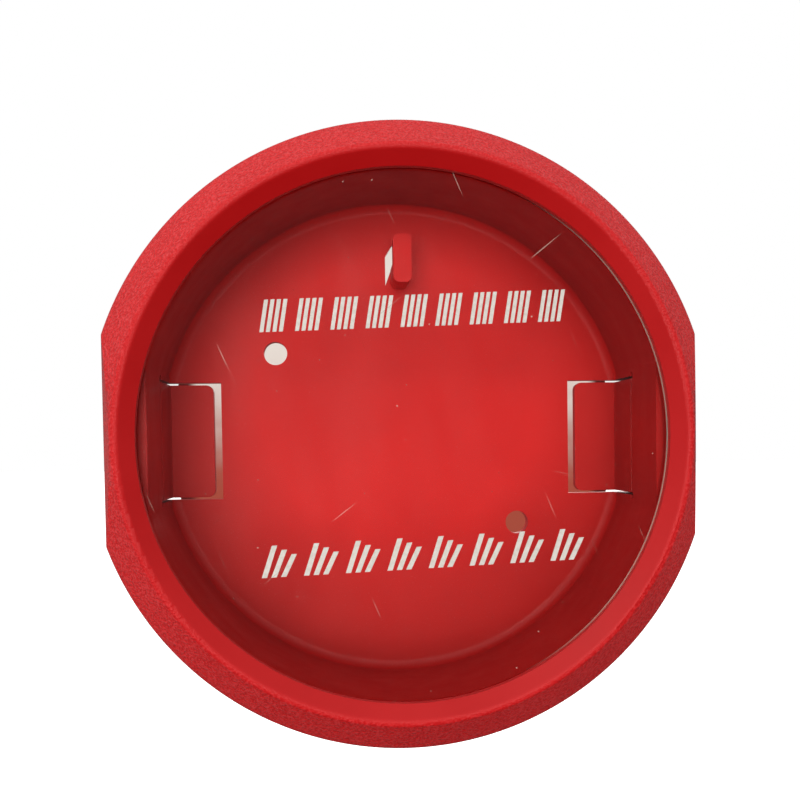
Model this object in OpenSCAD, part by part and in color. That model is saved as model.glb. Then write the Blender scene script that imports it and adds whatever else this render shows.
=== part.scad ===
// Round break-glass key box for a wall, in millimetres.
// The wall is the plane y = 0, the box stands out from it towards -Y, and +Z is up.
// The origin is the centre of the face that lies on the wall.

/* [Cover ring] */
// Outside diameter of the cover
cover_d = 120; // [100:1:150]
// How much each side flat cuts off the round outline
flat_cut = 3.5; // [3:0.1:6]
// How far each side flat leans in between the outer shoulder and the height of the ridge
flat_lean = 2.6; // [0:0.1:2.8]
// Distance from the wall to the front ridge, before the ridge is rounded
depth = 36; // [30:1:50]
// Thickness of the cover's skirt and sloping band
cover_wall = 2.2; // [1.6:0.1:2.6]
// Width of the ring, from its outside to the viewing opening
ring_w = 10; // [9.5:0.1:14]
// Width of the slope between the opening and the ridge
slope_w = 3.2; // [2:0.1:4.5]
// How far the opening's edge lies behind the ridge
slope_drop = 2.8; // [1.5:0.1:4]
// Thickness of the lip that holds the pane, at the opening's edge
lip_t = 1.4; // [1:0.1:2.5]
// How far the outer shoulder lies behind the ridge
band_drop = 7; // [5:0.5:10]
// Rounding of the outer shoulder
shoulder_r = 2.4; // [1:0.1:3]
// Rounding of the front ridge
ridge_r = 1.1; // [0.5:0.1:1.5]
// Thickness of the rib around the pane's pocket
pocket_rib = 1.4; // [1:0.1:1.8]
// How far the pocket's rib reaches behind the pane
pocket_reach = 1.2; // [0.5:0.1:3]

/* [Pane] */
// Thickness of the clear pane
pane_t = 2; // [1.5:0.1:3]
// How far the pane reaches under the lip
pane_grip = 3.5; // [3:0.1:4.2]
// Turn of the pane in its round seat
pane_turn = 2; // [-10:0.1:10]

/* [Printed marks] */
// Thickness of the ink
ink_t = 0.12; // [0.08:0.01:0.2]
// Height of one mark
mark_h = 6; // [4:0.5:8]
// Distance from one mark to the next in the upper row
upper_pitch = 6.6; // [6:0.1:7.5]
// Distance from one mark to the next in the lower row
lower_pitch = 7.9; // [7:0.1:8.5]
// How far the upper row lies above the pane's centre
upper_rise = 23.9; // [14:0.1:30]
// How far the lower row lies below the pane's centre
lower_drop = 22.1; // [14:0.1:30]
// Sideways place of both rows
row_shift = 2.6; // [-3:0.1:3]

/* [Key tray] */
// Thickness of the back plate
back_t = 2.5; // [2:0.1:3.5]
// Thickness of the tray's upright wall
tray_wall = 2; // [1.6:0.1:2.2]
// How far the upright wall stands outside the viewing opening's edge
reveal = 0.5; // [0.3:0.1:0.8]
// Rounding between the back plate and the upright wall
floor_fillet = 2; // [1:0.1:4]
// Diameter of the two wall screw holes
screw_d = 5; // [3:0.1:8]
// Diameter of the circle that the screw holes lie on
screw_pcd = 64.4; // [40:0.1:70]
// Direction of the first screw hole, counted from +X towards +Z
screw_angle = 144.4; // [120:0.1:150]

/* [Key hook] */
// Width of the hook
hook_w = 3.8; // [3:0.1:5]
// Length of the hook's front finger
hook_len = 10; // [9:0.1:16]
// Length of the foot that joins the finger to the back plate
hook_foot = 4.2; // [3:0.1:5]
// How far the hook stands out from the back plate
hook_reach = 9.5; // [8:0.1:16]
// Thickness of the finger
finger_t = 3.2; // [2:0.1:4]
// Gap between the finger's tip and the upright wall
hook_gap = 8; // [5:0.1:12]
// Sideways place of the hook
hook_x = 0.8; // [-4:0.1:4]
// Rounding of the finger's corners
finger_r = 1.3; // [0.5:0.1:1.6]
// How far the moulding window reaches out beside the hook
window_side = 1.15; // [1:0.05:3]

/* [Latches] */
// Width of each latch
latch_w = 24; // [16:0.5:26]
// Length of the finger tab along the back plate
tab_len = 9; // [6:0.1:12]
// Thickness of the finger tab
tab_t = 1.8; // [1.4:0.1:2.4]
// Rounding of the finger tab's corners
tab_r = 1.6; // [0.8:0.1:3]
// Thickness of the upright arm
arm_t = 1.8; // [1.2:0.1:2]
// Height of the hinge line above the back plate
hinge_h = 12; // [11:0.1:16]
// Gap along both sides of the latch
side_gap = 0.5; // [0.3:0.1:0.8]
// Gap in front of the finger tab, for its travel
tab_gap = 1.6; // [1.6:0.1:2.4]
// Width of the hinge groove on the inner face
groove_w = 0.65; // [0.6:0.05:1]
// Radius of the round edge that the latch turns on
bead_r = 0.5; // [0.4:0.05:0.7]
// Diameter of the relief hole at each end of the hinge line
relief_d = 1.8; // [1.2:0.1:2.4]
// Space between the upright wall's flat and the cover's skirt
latch_room = 3.8; // [3.4:0.1:4.6]
// How far the barb hooks over the cover's ledge
barb_bite = 0.8; // [0.6:0.1:0.8]
// Height of the barb's ramp
barb_ramp = 2.8; // [2:0.1:3.5]

/* [Clearances] */
// Play between the pane and its pocket, all round
pane_play = 0.4; // [0.2:0.1:0.8]
// Play between pane and lip, and between pane and tray
seat_play = 0.1; // [0.05:0.05:0.3]
// Play between the back plate and the cover's skirt
plate_play = 0.4; // [0.3:0.1:0.8]
// Gap between the cover's back edge and the wall
wall_gap = 0.5; // [0.3:0.1:1.5]
// Gap between the barb's tip and the cover's skirt
barb_play = 0.6; // [0.4:0.1:0.7]
// Play between the barb and the ledge that it holds
hold_play = 0.2; // [0.1:0.05:0.4]
// Running play of the latch's round edge in its groove
bead_play = 0.06; // [0.04:0.01:0.1]

/* [Hidden] */

$fn = 96;
CUT = 1;      // how far a cutter runs past the face that it cuts
SLIVER = 0.1; // how deep one shape of a solid is sunk into the next

// Radii, from the outside in
r_out = cover_d / 2;
r_skirt = r_out - cover_wall;
r_plate = r_skirt - plate_play;
r_opening = r_out - ring_w;
r_ridge = r_opening + slope_w;
r_pane = r_opening + pane_grip;
r_pocket = r_pane + pane_play;
r_rib = r_pocket + pocket_rib;
r_cavity = r_opening + reveal;
r_tray = r_cavity + tray_wall;

// Half widths across the side flats, from the outside in
x_out = r_out - flat_cut;
x_skirt = x_out - cover_wall;
x_plate = x_skirt - plate_play;
x_barb = x_skirt - barb_play;
x_ledge = x_barb - barb_bite;
x_tray = x_skirt - latch_room;
x_arm = x_tray - tray_wall + arm_t;
x_cavity = x_tray - tray_wall;
x_tab = x_cavity - tab_len;
x_slot = x_tab - tab_gap;
x_hinge = x_tray - bead_r;

// Heights above the wall
h_lip = depth - slope_drop;
h_seat = h_lip - lip_t;
h_pane_front = h_seat - seat_play;
h_pane_back = h_pane_front - pane_t;
h_tray = h_pane_back - seat_play;
h_pocket = h_pane_back - pocket_reach;
h_shoulder = depth - band_drop;
h_hinge = back_t + hinge_h;
h_tab = back_t - tab_t;

// The cover's ledge, and the barb that hooks over it
ledge_gap = 0.4;
ledge_t = 1.7;
ledge_w = latch_w - 2;
barb_slant = 0.4;
barb_flat = 1;
h_ledge = back_t + ledge_gap;
h_barb = h_ledge + ledge_t + hold_play;
h_barb_tip = h_barb + barb_slant;
h_barb_ramp = h_barb_tip + barb_flat;

// The window that each latch moves in ends just above the hinge line
window_w = latch_w + 2 * side_gap;
window_rise = 0.1;
h_window = h_hinge + window_rise;

// The hook
hook_top = r_cavity - hook_gap;
hook_bottom = hook_top - hook_len;

upper_marks = 9;
lower_marks = 8;

// Stands up what is drawn lying on its back: drawn height becomes distance from the wall.
module on_wall() {
    rotate([90, 0, 0])
        children();
}

// Cuts whatever it is given to a slab that reaches half_w to each side.
module between_flats(half_w) {
    intersection() {
        children();
        translate([-half_w, -cover_d, -CUT])
            cube([2 * half_w, 2 * cover_d, depth + 2 * CUT]);
    }
}

// Cuts the cover's outside to its two side flats, upright below the shoulder and leaning in above it.
module between_leaning_flats() {
    x_top = x_out - flat_lean * (band_drop + CUT) / band_drop;
    intersection() {
        children();
        side_prism(2 * cover_d)
            polygon([
                [-x_out, -CUT],
                [x_out, -CUT],
                [x_out, h_shoulder],
                [x_top, depth + CUT],
                [-x_top, depth + CUT],
                [-x_out, h_shoulder]
            ]);
    }
}

// Extrudes a side profile, drawn as (x, height), w wide and centred on y = 0.
module side_prism(w) {
    rotate([90, 0, 0])
        translate([0, 0, -w / 2])
            linear_extrude(w)
                children();
}

function unit(v) = v / norm(v);

// How far a round corner of radius r starts from its corner point, between directions a and b.
function tangent(a, b, r) = r / tan(acos(a * b) / 2);

// A polygon with its convex corners rounded, each by its own radius.
module rounded_polygon(points, radii) {
    count = len(points);
    before = [for (i = [0 : count - 1]) unit(points[(i + count - 1) % count] - points[i])];
    after = [for (i = [0 : count - 1]) unit(points[(i + 1) % count] - points[i])];
    reach = [for (i = [0 : count - 1]) tangent(before[i], after[i], radii[i])];
    cut_corners = [
        for (i = [0 : count - 1])
            for (way = radii[i] > 0 ? [before[i], after[i]] : [[0, 0]])
                points[i] + way * reach[i]
    ];
    polygon(cut_corners);
    for (i = [0 : count - 1])
        if (radii[i] > 0)
            translate(points[i] + unit(before[i] + after[i]) * norm([reach[i], radii[i]]))
                circle(radii[i]);
}

// A rectangle from corner a to corner b with all its corners rounded.
module rounded_box(a, b, r) {
    rounded_polygon([a, [b.x, a.y], b, [a.x, b.y]], [r, r, r, r]);
}

// ---- Cover ring ----

// Outer section of the cover, filled from its axis, over the ridge, to the skirt.
module cover_section() {
    edge_r = 0.4;
    rounded_polygon(
        [[0, wall_gap], [r_out, wall_gap], [r_out, h_shoulder], [r_ridge, depth], [r_opening, h_lip], [0, h_lip]],
        [0, edge_r, shoulder_r, ridge_r, 0, 0]
    );
}

// Section of the hollow behind the sloping band, outside the pocket's rib.
module cover_hollow_section() {
    band_len = norm([r_out - r_ridge, band_drop]);
    band_slope = band_drop / (r_out - r_ridge);
    roof_drop = cover_wall * band_len / (r_out - r_ridge);
    h_roof_skirt = h_shoulder + cover_wall * band_slope - roof_drop;
    h_roof_rib = h_roof_skirt + (r_skirt - r_rib) * band_slope;
    polygon([
        [0, -CUT],
        [r_skirt, -CUT],
        [r_skirt, h_roof_skirt],
        [r_rib, h_roof_rib],
        [r_rib, h_pocket],
        [0, h_pocket]
    ]);
}

// One ledge inside the skirt, which the latch's barb hooks over.
module cover_ledge() {
    lead_in = 0.6;
    side_prism(ledge_w)
        polygon([
            [x_skirt + SLIVER, h_ledge],
            [x_ledge + lead_in, h_ledge],
            [x_ledge, h_ledge + lead_in],
            [x_ledge, h_ledge + ledge_t],
            [x_skirt + SLIVER, h_ledge + ledge_t]
        ]);
}

module cover_ring() {
    color("crimson")
        on_wall() {
            difference() {
                between_leaning_flats()
                    rotate_extrude()
                        cover_section();
                between_flats(x_skirt)
                    rotate_extrude()
                        cover_hollow_section();
                translate([0, 0, -CUT])
                    cylinder(r = r_pocket, h = h_seat + CUT);
                cylinder(r = r_opening, h = depth + CUT);
            }
            cover_ledge();
            mirror([1, 0, 0])
                cover_ledge();
        }
}

// ---- Pane and its print ----

module clear_pane() {
    edge_r = 0.3;
    color("aliceblue", 0.4)
        on_wall()
            rotate_extrude()
                rounded_polygon(
                    [[0, h_pane_back], [r_pane, h_pane_back], [r_pane, h_pane_front], [0, h_pane_front]],
                    [0, edge_r, edge_r, 0]
                );
}

// One mark of the upper row: a square of slanting bars.
module bar_mark() {
    bars = 4;
    bar_w = 0.74;
    pitch = 1.2;
    lean = 1.2;
    left = -bars * pitch / 2;
    for (i = [0 : bars - 1])
        translate([left + i * pitch, -mark_h / 2])
            polygon([[-lean / 2, 0], [bar_w - lean / 2, 0], [bar_w + lean / 2, mark_h], [lean / 2, mark_h]]);
}

// One mark of the lower row: slanting bars that shorten to one side.
module step_mark() {
    bars = 3;
    bar_w = 1;
    pitch = 1.8;
    lean = 2.2;
    shorten = 0.9;
    left = -bars * pitch / 2;
    for (i = [0 : bars - 1])
        translate([left + i * pitch, -mark_h / 2])
            polygon([
                [-lean / 2, 0],
                [bar_w - lean / 2, 0],
                [bar_w + lean / 2, mark_h - i * shorten],
                [lean / 2, mark_h - i * shorten]
            ]);
}

module mark_row(count, pitch, height) {
    for (i = [0 : count - 1])
        translate([row_shift + (i - (count - 1) / 2) * pitch, height])
            children();
}

// The ink lies on the back of the pane and turns with it.
module printed_marks() {
    color("ivory")
        on_wall()
            rotate([0, 0, pane_turn])
                translate([0, 0, h_pane_back - ink_t])
                    linear_extrude(ink_t) {
                        mark_row(upper_marks, upper_pitch, upper_rise)
                            bar_mark();
                        mark_row(lower_marks, lower_pitch, -lower_drop)
                            step_mark();
                    }
}

// ---- Key tray ----

// The space inside the tray, with a rounded foot all round.
module cavity() {
    between_flats(x_cavity)
        rotate_extrude()
            rounded_polygon(
                [[0, back_t], [r_cavity, back_t], [r_cavity, depth], [0, depth]],
                [0, floor_fillet, 0, 0]
            );
}

module tray_shell() {
    rim_r = 0.4;
    between_flats(x_plate)
        cylinder(r = r_plate, h = back_t);
    difference() {
        between_flats(x_tray)
            rotate_extrude()
                rounded_polygon(
                    [[0, 0], [r_tray, 0], [r_tray, h_tray], [0, h_tray]],
                    [0, 0, rim_r, 0]
                );
        cavity();
    }
}

// Outline of the hook's front face.
module finger_outline() {
    rounded_box([hook_x - hook_w / 2, hook_bottom], [hook_x + hook_w / 2, hook_top], finger_r);
}

module key_hook() {
    h_front = back_t + hook_reach;
    translate([0, 0, h_front - finger_t])
        linear_extrude(finger_t)
            finger_outline();
    translate([0, 0, back_t - SLIVER])
        linear_extrude(hook_reach)
            intersection() {
                finger_outline();
                translate([hook_x - hook_w, hook_bottom])
                    square([2 * hook_w, hook_foot]);
            }
}

// The window that the hook's inner side is moulded through, with a slanted bay at one side.
module hook_window() {
    foot_gap = 1.1;
    tip_drop = 0.3;
    upper_slant = 2.6;
    lower_slant = 4.5;
    slant_end = 0.5;
    left = hook_x - hook_w / 2;
    bottom = hook_bottom + hook_foot + foot_gap;
    top = hook_top - tip_drop;
    translate([0, 0, -CUT])
        linear_extrude(back_t + 2 * CUT)
            polygon([
                [left - window_side, bottom - lower_slant],
                [left - window_side, top - upper_slant],
                [left + slant_end, top],
                [left + hook_w, top],
                [left + hook_w, bottom],
                [left + slant_end, bottom]
            ]);
}

module screw_holes() {
    for (half_turn = [0, 180])
        rotate([0, 0, screw_angle + half_turn])
            translate([screw_pcd / 2, 0, -CUT])
                cylinder(d = screw_d, h = back_t + 2 * CUT);
}

// The window in back plate and upright wall that the right latch moves in.
module latch_window() {
    translate([x_slot, -window_w / 2, -CUT])
        cube([r_out - x_slot, window_w, CUT + back_t + floor_fillet]);
    translate([x_cavity - CUT, -window_w / 2, 0])
        cube([r_out - x_cavity, window_w, h_window]);
    hinge_bar(bead_r + bead_play, window_w);
    for (side = [-1, 1])
        translate([x_cavity - CUT, side * window_w / 2, h_hinge])
            rotate([0, 90, 0])
                cylinder(d = relief_d, h = tray_wall + 2 * CUT);
}

module key_tray() {
    color("firebrick")
        on_wall() {
            difference() {
                tray_shell();
                screw_holes();
                hook_window();
                latch_window();
                mirror([1, 0, 0])
                    latch_window();
            }
            key_hook();
        }
}

// ---- Latches ----

// Side profile of the right latch: upright arm, finger tab and barb.
module latch_profile() {
    neck_drop = 0.25;
    polygon([
        [x_cavity, h_window - groove_w],
        [x_hinge - bead_r + SLIVER, h_hinge - neck_drop],
        [x_arm, h_hinge - neck_drop],
        [x_arm, h_barb_ramp + barb_ramp],
        [x_barb, h_barb_ramp],
        [x_barb, h_barb_tip],
        [x_arm, h_barb],
        [x_arm, h_tab],
        [x_tab, h_tab],
        [x_tab, back_t],
        [x_cavity, back_t]
    ]);
}

// A round bar along the hinge line.
module hinge_bar(radius, w) {
    translate([x_hinge, 0, h_hinge])
        rotate([90, 0, 0])
            cylinder(r = radius, h = w, center = true);
}

module right_latch_shape() {
    intersection() {
        side_prism(latch_w)
            latch_profile();
        translate([0, 0, -CUT])
            linear_extrude(depth)
                rounded_polygon(
                    [[x_tab, -latch_w / 2], [r_out, -latch_w / 2], [r_out, latch_w / 2], [x_tab, latch_w / 2]],
                    [tab_r, 0, 0, tab_r]
                );
    }
    hinge_bar(bead_r, latch_w);
}

module right_latch() {
    color("indianred")
        on_wall()
            right_latch_shape();
}

module left_latch() {
    color("indianred")
        on_wall()
            mirror([1, 0, 0])
                right_latch_shape();
}

key_tray();
left_latch();
right_latch();
cover_ring();
clear_pane();
printed_marks();
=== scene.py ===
"""Round break-glass key box: materials, edge rounding, studio light and camera.

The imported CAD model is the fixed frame. The wall is the plane y = 0, the front faces -Y and +Z is up.
Its own pieces stay as they are and get rounded edges and procedural materials.
"""
import math

import bpy
from mathutils import Matrix, Vector


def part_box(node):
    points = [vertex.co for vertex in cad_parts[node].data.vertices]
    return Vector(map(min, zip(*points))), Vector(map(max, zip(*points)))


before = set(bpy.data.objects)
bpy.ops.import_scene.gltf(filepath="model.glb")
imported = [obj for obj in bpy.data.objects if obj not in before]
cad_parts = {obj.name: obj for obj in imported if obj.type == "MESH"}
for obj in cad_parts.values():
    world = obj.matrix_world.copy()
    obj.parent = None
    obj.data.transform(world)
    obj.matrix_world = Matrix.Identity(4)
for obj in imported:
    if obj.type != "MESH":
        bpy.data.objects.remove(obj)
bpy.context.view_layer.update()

MM = 0.001

# Widths of the cover's outer band and of its whole ring, both counted from the outside
BAND_WIDTH = 6.8 * MM
RING_WIDTH = 10 * MM
# The tray's back plate: the plane of its inner face, and the rounding up to the upright wall
PLATE_Y = -2.5 * MM
PLATE_FILLET = 2 * MM
# Distances from the axis between which painted shade darkens the tray's upright wall
WALL_SHADE_START = 45 * MM
WALL_SHADE_END = 49.8 * MM
# Painted shade darkens the back plate between these distances from a line that lies this far above the axis
EDGE_SHADE_START = 30 * MM
EDGE_SHADE_END = 58 * MM
EDGE_SHADE_RISE = 9 * MM
# Dark red painted in as shade on the tray's upright wall and towards its back plate's edge
PAINTED_SHADE_RED = (0.30, 0.004, 0.003, 1)
# The shaded wall behind the box: its radius, and how far it lies behind the wall plane
PATCH_RADIUS = 49 * MM
PATCH_GAP = 0.5 * MM
# The floor below the box, in metres
FLOOR_SIZE = 30
FLOOR_Z = -0.32

# Sizes read off the frame
cover_low, cover_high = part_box("cover_ring")
front_y = cover_low.y
ridge_r = cover_high.z - BAND_WIDTH
opening_r = cover_high.z - RING_WIDTH


# ---- Node helpers ----

def plug(tree, socket, value):
    """Links value to the socket if it is a socket, or sets it as the socket's own value."""
    if isinstance(value, bpy.types.NodeSocket):
        tree.links.new(value, socket)
    else:
        socket.default_value = value


def node(tree, kind, settings=None, **inputs):
    """A new node. settings are its own fields; inputs are sockets by name, with _ for a space."""
    made = tree.nodes.new(kind)
    for field, value in (settings or {}).items():
        setattr(made, field, value)
    for name, value in inputs.items():
        plug(tree, made.inputs[name.replace("_", " ")], value)
    return made


def maths(tree, operation, *values):
    made = node(tree, "ShaderNodeMath", {"operation": operation})
    for socket, value in zip(made.inputs, values):
        plug(tree, socket, value)
    return made.outputs[0]


def product(tree, *values):
    """All the values multiplied together."""
    made = values[0]
    for value in values[1:]:
        made = maths(tree, "MULTIPLY", made, value)
    return made


def blend_numbers(tree, share, low, high):
    made = node(tree, "ShaderNodeMix", {"data_type": "FLOAT"})
    for place, value in ((0, share), (2, low), (3, high)):
        plug(tree, made.inputs[place], value)
    return made.outputs[0]


def blend_colours(tree, share, low, high):
    made = node(tree, "ShaderNodeMix", {"data_type": "RGBA"})
    for place, value in ((0, share), (6, low), (7, high)):
        plug(tree, made.inputs[place], value)
    return made.outputs[2]


def blend_shaders(tree, share, low, high):
    made = node(tree, "ShaderNodeMixShader", Fac=share)
    tree.links.new(low.outputs[0], made.inputs[1])
    tree.links.new(high.outputs[0], made.inputs[2])
    return made


def rescale(tree, value, from_min, from_max, to_min=0.0, to_max=1.0, smooth=False):
    """Value taken from one range to another, and held at the ends."""
    interpolation = "SMOOTHSTEP" if smooth else "LINEAR"
    made = node(tree, "ShaderNodeMapRange", {"interpolation_type": interpolation}, Value=value)
    ends = {"From Min": from_min, "From Max": from_max, "To Min": to_min, "To Max": to_max}
    for name, number in ends.items():
        made.inputs[name].default_value = number
    return made.outputs[0]


def object_point(tree):
    """The point on the piece, in the frame's own metres."""
    return node(tree, "ShaderNodeTexCoord").outputs["Object"]


def stretched(tree, point, factors, turn=0.0):
    """The point turned about Y, then scaled by factors, to draw a pattern out along one direction."""
    turned = node(tree, "ShaderNodeMapping", Vector=point)
    turned.inputs["Rotation"].default_value = (0, turn, 0)
    scaled = node(tree, "ShaderNodeMapping", Vector=turned.outputs[0])
    scaled.inputs["Scale"].default_value = factors
    return scaled.outputs[0]


def noise(tree, point, size, detail=2.0, roughness=0.5):
    """Noise whose blotches are about size metres across."""
    made = node(tree, "ShaderNodeTexNoise", Vector=point, Scale=1 / size, Detail=detail, Roughness=roughness)
    return made.outputs["Fac"]


def distance_from_axis(tree, point, above=0.0):
    """Distance from the box's own axis, which is the Y axis, or from a parallel line above it."""
    parts = node(tree, "ShaderNodeSeparateXYZ", Vector=point)
    sideways = parts.outputs["X"]
    upwards = maths(tree, "SUBTRACT", parts.outputs["Z"], above)
    squares = maths(tree, "ADD", product(tree, sideways, sideways), product(tree, upwards, upwards))
    return maths(tree, "SQRT", squares)


def bump(tree, height, distance, strength):
    return node(tree, "ShaderNodeBump", Height=height, Distance=distance, Strength=strength).outputs[0]


def new_material(name):
    """A material with one Principled shader: (material, its tree, the shader)."""
    material = bpy.data.materials.new(name)
    material.use_nodes = True
    tree = material.node_tree
    return material, tree, tree.nodes["Principled BSDF"]


# ---- Materials ----

def cover_material():
    """Moulded red: spark-eroded grain on the outer band and skirt, smooth on the inner slope."""
    material, tree, shader = new_material("grained_red_plastic")
    point = object_point(tree)
    from_axis = distance_from_axis(tree, point)
    outside = rescale(tree, from_axis, ridge_r - 1.2 * MM, ridge_r + 1.4 * MM, smooth=True)
    pebbles = noise(tree, point, 0.5 * MM, detail=2.0, roughness=0.6)
    grain = rescale(tree, pebbles, 0.38, 0.62)
    fine_grain = noise(tree, point, 0.12 * MM, detail=1.0)
    blotches = noise(tree, point, 14 * MM, detail=3.0)
    # Painted shade: the smooth inner slope gets a darker red than the grained band
    shaded_slope_red = blend_colours(tree, blotches, (0.42, 0.003, 0.004, 1), (0.50, 0.005, 0.006, 1))
    grained_red = blend_colours(tree, blotches, (0.60, 0.005, 0.007, 1), (0.70, 0.009, 0.011, 1))
    plain_red = blend_colours(tree, outside, shaded_slope_red, grained_red)
    # Painted shade: a darker red in the grain's pits
    pit_shade = product(tree, rescale(tree, pebbles, 0.5, 0.36), outside, 0.45)
    pit_shaded_red = blend_colours(tree, pit_shade, plain_red, (0.33, 0.004, 0.006, 1))
    # Lighter, pinkish grain tips: partly wear, partly a painted sheen
    tip_wear_and_sheen = product(tree, rescale(tree, pebbles, 0.5, 0.68), outside, 0.30)
    plug(tree, shader.inputs["Base Color"], blend_colours(tree, tip_wear_and_sheen, pit_shaded_red, (0.80, 0.12, 0.13, 1)))
    smooth_roughness = rescale(tree, blotches, 0.3, 0.7, 0.34, 0.42)
    grain_roughness = rescale(tree, pebbles, 0.3, 0.7, 0.58, 0.46)
    plug(tree, shader.inputs["Roughness"], blend_numbers(tree, outside, smooth_roughness, grain_roughness))
    height = maths(tree, "ADD", product(tree, grain, outside), product(tree, fine_grain, 0.1))
    plug(tree, shader.inputs["Normal"], bump(tree, height, 0.11 * MM, 1.0))
    shader.inputs["Specular IOR Level"].default_value = 0.45
    shader.inputs["Sheen Weight"].default_value = 0.05
    shader.inputs["Sheen Roughness"].default_value = 0.4
    return material


def tray_material(name, low_colour, high_colour):
    """Semi-gloss moulded red with faint flow lines and a light haze of dust.

    Painted shade darkens it on the upright wall, and on the back plate towards the edge, more so at the
    bottom.
    """
    material, tree, shader = new_material(name)
    point = object_point(tree)
    flow = noise(tree, stretched(tree, point, (1.0, 1.0, 0.25), turn=0.25), 7 * MM, detail=3.0)
    blotches = noise(tree, point, 22 * MM, detail=2.0)
    orange_peel = noise(tree, point, 1.6 * MM, detail=1.0)
    dust = rescale(tree, noise(tree, point, 0.35 * MM, detail=2.0), 0.66, 0.74, 0.0, 0.10)
    red = blend_colours(tree, rescale(tree, blotches, 0.3, 0.7), low_colour, high_colour)
    outwards = node(tree, "ShaderNodeSeparateXYZ", Vector=point).outputs["Y"]
    above_plate = rescale(tree, outwards, PLATE_Y, PLATE_Y - PLATE_FILLET)
    in_tray = rescale(tree, outwards, PLATE_Y / 2, PLATE_Y)
    # Painted shade: the red darkens on the upright wall, and on the back plate towards the edge, more so at
    # the bottom
    wall_shade_mask = rescale(tree, distance_from_axis(tree, point), WALL_SHADE_START, WALL_SHADE_END, 0.0, 0.8, smooth=True)
    edge_shade_mask = rescale(tree, distance_from_axis(tree, point, EDGE_SHADE_RISE), EDGE_SHADE_START, EDGE_SHADE_END, 0.0, 0.8)
    painted_wall_shade = product(tree, wall_shade_mask, above_plate)
    painted_edge_shade = product(tree, edge_shade_mask, in_tray)
    red = blend_colours(tree, maths(tree, "MAXIMUM", painted_wall_shade, painted_edge_shade), red, PAINTED_SHADE_RED)
    plug(tree, shader.inputs["Base Color"], blend_colours(tree, dust, red, (0.70, 0.42, 0.38, 1)))
    plug(tree, shader.inputs["Roughness"], rescale(tree, flow, 0.3, 0.7, 0.36, 0.50))
    height = maths(tree, "ADD", orange_peel, product(tree, flow, 0.6))
    plug(tree, shader.inputs["Normal"], bump(tree, height, 0.03 * MM, 0.5))
    shader.inputs["Specular IOR Level"].default_value = 0.5
    return material


def pane_material():
    """Clear acrylic, thin enough not to bend what lies behind it.

    It has hairline scratches and specks, and on the right a painted highlight: a fine pale line where the
    cover's lip sits.
    """
    material, tree, shader = new_material("clear_acrylic")
    tree.nodes.remove(shader)
    point = object_point(tree)
    scratches = 0.0
    for turn, size in ((0.4, 0.5 * MM), (-0.9, 0.7 * MM), (1.35, 0.6 * MM)):
        lines = noise(tree, stretched(tree, point, (1.0, 1.0, 0.03), turn), size, detail=1.0)
        scratches = maths(tree, "MAXIMUM", scratches, rescale(tree, lines, 0.79, 0.83))
    specks = rescale(tree, noise(tree, point, 0.8 * MM, detail=1.0), 0.80, 0.84)
    haze = rescale(tree, noise(tree, point, 18 * MM, detail=4.0), 0.4, 0.8, 0.02, 0.06)
    surface = bump(tree, scratches, 0.01 * MM, 0.4)
    clear = node(tree, "ShaderNodeBsdfTransparent", Color=(0.965, 0.955, 0.945, 1))
    mirror = node(tree, "ShaderNodeBsdfAnisotropic", Color=(1, 1, 1, 1), Roughness=haze, Normal=surface)
    dull = node(tree, "ShaderNodeBsdfDiffuse", Color=(0.80, 0.62, 0.52, 1))
    # Light goes through two faces; the one that it enters by stands for the reflection of both.
    entered = maths(tree, "SUBTRACT", 1.0, node(tree, "ShaderNodeNewGeometry").outputs["Backfacing"])
    fresnel = node(tree, "ShaderNodeFresnel", IOR=1.5).outputs[0]
    glass = blend_shaders(tree, product(tree, fresnel, entered), clear, mirror)
    marred = product(tree, maths(tree, "MAXIMUM", scratches, specks), 0.35)
    from_axis = distance_from_axis(tree, point)
    to_right = node(tree, "ShaderNodeSeparateXYZ", Vector=point).outputs["X"]
    # Painted highlight: a fine pale line along the seat of the cover's lip, on the right only; it shares the
    # scratches' dull shader
    from_seat = maths(tree, "ABSOLUTE", maths(tree, "SUBTRACT", from_axis, opening_r))
    lip_highlight_line = rescale(tree, from_seat, 0.30 * MM, 0.15 * MM, 0.0, 0.35)
    painted_lip_highlight = product(tree, lip_highlight_line, rescale(tree, to_right, 20 * MM, 42 * MM, smooth=True))
    wear_and_highlight_share = product(tree, maths(tree, "MAXIMUM", marred, painted_lip_highlight), entered)
    wear_and_highlight = blend_shaders(tree, wear_and_highlight_share, glass, dull)
    tree.links.new(wear_and_highlight.outputs[0], tree.nodes["Material Output"].inputs["Surface"])
    return material


def ink_material():
    """Screen-printed off-white ink, a little uneven, with pinholes."""
    material, tree, shader = new_material("off_white_ink")
    point = object_point(tree)
    cover_share = rescale(tree, noise(tree, point, 0.9 * MM, detail=3.0), 0.3, 0.7)
    pinholes = rescale(tree, noise(tree, point, 0.3 * MM, detail=2.0), 0.68, 0.75)
    ink = blend_colours(tree, cover_share, (0.62, 0.59, 0.54, 1), (0.74, 0.72, 0.68, 1))
    plug(tree, shader.inputs["Base Color"], blend_colours(tree, pinholes, ink, (0.62, 0.30, 0.26, 1)))
    plug(tree, shader.inputs["Roughness"], rescale(tree, cover_share, 0.0, 1.0, 0.55, 0.40))
    plug(tree, shader.inputs["Normal"], bump(tree, cover_share, 0.01 * MM, 0.6))
    return material


def dress(name, material):
    """Gives every material slot of a CAD piece this material."""
    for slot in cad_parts[name].material_slots:
        slot.material = material


def sink_ink(name, depth):
    """Sinks the ink into the pane a little, so that no ray slips between two faces that lie in one plane."""
    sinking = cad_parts[name].modifiers.new("sinking", "DISPLACE")
    sinking.strength = depth
    sinking.mid_level = 0.0


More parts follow.
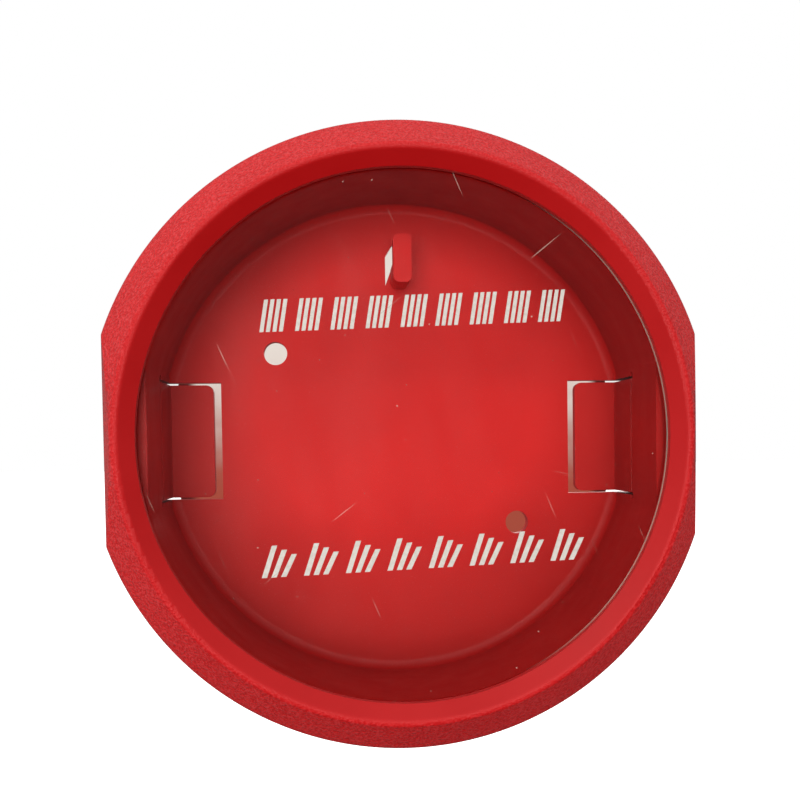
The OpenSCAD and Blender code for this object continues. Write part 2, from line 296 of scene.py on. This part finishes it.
def round_edges(name, radius):
    """Rounds the sharp edges of a CAD piece. Modifiers do it, so its mesh stays as imported."""
    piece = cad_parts[name]
    join = piece.modifiers.new("join", "WELD")
    join.merge_threshold = 0.001 * MM
    flatten = piece.modifiers.new("flatten", "DECIMATE")
    flatten.decimate_type = "DISSOLVE"
    flatten.angle_limit = math.radians(0.5)
    rounding = piece.modifiers.new("rounding", "BEVEL")
    rounding.width = radius
    rounding.segments = 3
    rounding.limit_method = "ANGLE"
    rounding.angle_limit = math.radians(25)
    shading = piece.modifiers.new("shading", "WEIGHTED_NORMAL")
    shading.weight = 100


# ---- Stage ----

def make_floor():
    """A plain pale floor, well below the box, that neither lights it nor shows in its gloss."""
    material, tree, shader = new_material("pale_floor")
    point = object_point(tree)
    mottling = noise(tree, point, 0.4, detail=3.0)
    pale = blend_colours(tree, mottling, (0.86, 0.86, 0.86, 1), (0.9, 0.9, 0.9, 1))
    plug(tree, shader.inputs["Base Color"], pale)
    shader.inputs["Roughness"].default_value = 0.9
    shader.inputs["Emission Color"].default_value = (1, 1, 1, 1)
    seen = node(tree, "ShaderNodeLightPath").outputs["Is Camera Ray"]
    plug(tree, shader.inputs["Emission Strength"], rescale(tree, seen, 0.0, 1.0, 0.02, 0.85))
    bpy.ops.mesh.primitive_plane_add(size=FLOOR_SIZE, location=(0, 0, FLOOR_Z))
    floor = bpy.context.object
    floor.name = "floor"
    floor.data.materials.append(material)
    floor.visible_diffuse = False
    floor.visible_glossy = False


def make_wall_patch():
    """A glowing sheet with painted light and shade, standing for the shaded wall that shows through the
    box's holes: lighter towards the top and dark at the sides. It can only be seen from in front of the box.
    """
    material, tree, shader = new_material("shaded_wall")
    tree.nodes.remove(shader)
    point = object_point(tree)
    parts = node(tree, "ShaderNodeSeparateXYZ", Vector=point)
    mottling = product(tree, noise(tree, point, 6 * MM, detail=3.0), 12 * MM)
    # Painted light and shade: lighter towards the top, with mottling, and dark shade at the sides
    lit = rescale(tree, maths(tree, "ADD", parts.outputs["Z"], mottling), -6 * MM, 25 * MM, smooth=True)
    colour = blend_colours(tree, lit, (0.42, 0.08, 0.05, 1), (0.88, 0.80, 0.74, 1))
    sideways = maths(tree, "ABSOLUTE", parts.outputs["X"])
    in_shadow = rescale(tree, sideways, 43 * MM, 45.5 * MM, smooth=True)
    colour = blend_colours(tree, in_shadow, colour, (0.10, 0.010, 0.008, 1))
    lit_wall = node(tree, "ShaderNodeEmission", Color=colour)
    from_behind = node(tree, "ShaderNodeNewGeometry").outputs["Backfacing"]
    one_sided = blend_shaders(tree, from_behind, lit_wall, node(tree, "ShaderNodeBsdfTransparent"))
    tree.links.new(one_sided.outputs[0], tree.nodes["Material Output"].inputs["Surface"])
    bpy.ops.mesh.primitive_circle_add(
        vertices=64,
        radius=PATCH_RADIUS,
        fill_type="NGON",
        location=(0, PATCH_GAP, 0),
    )
    patch = bpy.context.object
    patch.name = "wall_patch"
    patch.data.transform(Matrix.Rotation(math.pi / 2, 4, "X"))
    patch.data.materials.append(material)
    for kind in ("visible_diffuse", "visible_glossy", "visible_transmission", "visible_shadow"):
        setattr(patch, kind, False)


def make_world():
    """White where the camera looks past the box, and a dimmer studio for light and reflections.

    The studio is brightest above and a little to the left, and its reflections are dimmer than its light.
    """
    world = bpy.data.worlds.new("studio")
    bpy.context.scene.world = world
    world.use_nodes = True
    tree = world.node_tree
    tree.nodes.clear()
    path = node(tree, "ShaderNodeLightPath")
    diffuse, glossy = path.outputs["Is Diffuse Ray"], path.outputs["Is Glossy Ray"]
    lights_things = maths(tree, "MAXIMUM", diffuse, glossy)
    upward = node(tree, "ShaderNodeVectorMath", {"operation": "DOT_PRODUCT"})
    plug(tree, upward.inputs[0], node(tree, "ShaderNodeTexCoord").outputs["Generated"])
    upward.inputs[1].default_value = Vector((-0.3, 0.0, 1.0)).normalized()
    rise = rescale(tree, upward.outputs["Value"], -1.0, 1.0)
    share = maths(tree, "ADD", diffuse, product(tree, glossy, 0.3))
    studio = product(tree, maths(tree, "POWER", rise, 1.2), share)
    strength = blend_numbers(tree, lights_things, 1.0, studio)
    background = node(tree, "ShaderNodeBackground", Color=(1, 1, 1, 1), Strength=strength)
    output = node(tree, "ShaderNodeOutputWorld")
    tree.links.new(background.outputs[0], output.inputs["Surface"])


def make_softbox(name, place, aim, width, height, power, mirrored=True):
    """A rectangular soft light at place, turned to aim. Unless mirrored, nothing glossy shows it."""
    lamp = bpy.data.lights.new(name, "AREA")
    lamp.shape = "RECTANGLE"
    lamp.size = width
    lamp.size_y = height
    lamp.energy = power
    lamp.color = (1.0, 0.985, 0.96)
    holder = bpy.data.objects.new(name, lamp)
    holder.location = place
    holder.rotation_euler = (Vector(aim) - Vector(place)).to_track_quat("-Z", "Y").to_euler()
    holder.visible_glossy = mirrored
    holder.visible_transmission = mirrored
    bpy.context.scene.collection.objects.link(holder)


def make_lights():
    centre = (0.0, front_y / 2, 0.0)
    make_softbox("key", (-0.42, -0.55, 0.50), centre, 0.4, 0.4, 0.35)
    make_softbox("front", (-0.14, -0.98, 0.09), centre, 0.7, 0.7, 8.0, mirrored=False)
    make_softbox("back_fill", (0.35, 0.95, 0.40), centre, 0.6, 0.6, 3.0)


def make_camera():
    """Close in front and a little left of the axis. The shift puts back what the photo's crop cut away."""
    place = Vector((-14.4, -206.0, -1.8)) * MM
    yaw, pitch, roll = (math.radians(degrees) for degrees in (5.13, -2.035, -0.777))
    turn = (
        Matrix.Rotation(-yaw, 4, "Z")
        @ Matrix.Rotation(math.pi / 2 + pitch, 4, "X")
        @ Matrix.Rotation(roll, 4, "Z")
    )
    lens = bpy.data.cameras.new("camera")
    lens.sensor_width = 36.0
    lens.lens = 41.9
    lens.shift_x = -0.02
    lens.shift_y = 0.1
    lens.clip_start = 0.005
    camera = bpy.data.objects.new("camera", lens)
    camera.matrix_world = Matrix.Translation(place) @ turn
    bpy.context.scene.collection.objects.link(camera)
    bpy.context.scene.camera = camera


make_world()
make_floor()
make_wall_patch()
make_lights()
make_camera()

tray_red = tray_material("semi_gloss_red_plastic", (0.70, 0.004, 0.004, 1), (0.79, 0.007, 0.006, 1))
latch_red = tray_material("latch_red_plastic", (0.64, 0.008, 0.007, 1), (0.74, 0.011, 0.010, 1))
dress("cover_ring", cover_material())
dress("key_tray", tray_red)
dress("left_latch", latch_red)
dress("right_latch", latch_red)
dress("clear_pane", pane_material())
dress("printed_marks", ink_material())

sink_ink("printed_marks", 0.01 * MM)
round_edges("cover_ring", 0.3 * MM)
round_edges("key_tray", 0.25 * MM)
round_edges("left_latch", 0.2 * MM)
round_edges("right_latch", 0.2 * MM)

bpy.context.scene.view_settings.view_transform = "Standard"
